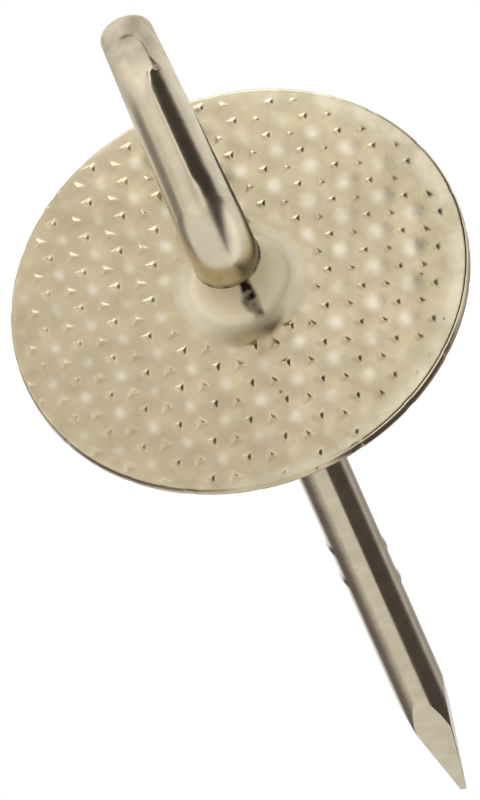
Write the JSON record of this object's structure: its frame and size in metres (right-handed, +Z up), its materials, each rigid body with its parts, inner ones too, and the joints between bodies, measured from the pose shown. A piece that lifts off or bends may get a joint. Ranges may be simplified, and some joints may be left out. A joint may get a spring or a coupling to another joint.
{
  "type": "plate hanger hook nail with round wall plate",
  "caption": "Brass-plated plate hanger: a hook nail with an upright arm, driven through its own round, embossed wall plate with a raised collar.",
  "frame": {"origin": "On the wall, in the middle of the flat ring at the back of the plate", "axes": "+Y runs along the nail into the wall, +Z runs up along the arm, and +X is to the right for someone facing the wall"},
  "size_m": [0.0194, 0.0461, 0.0211],
  "materials": {
    "plated_wire": "satin brass plating on drawn steel wire",
    "plated_sheet": "bright brass plating on embossed steel sheet"
  },
  "bodies": {
    "root": {"hook_nail": "plated_wire", "wall_plate": "plated_sheet"}
  },
  "joints": []
}
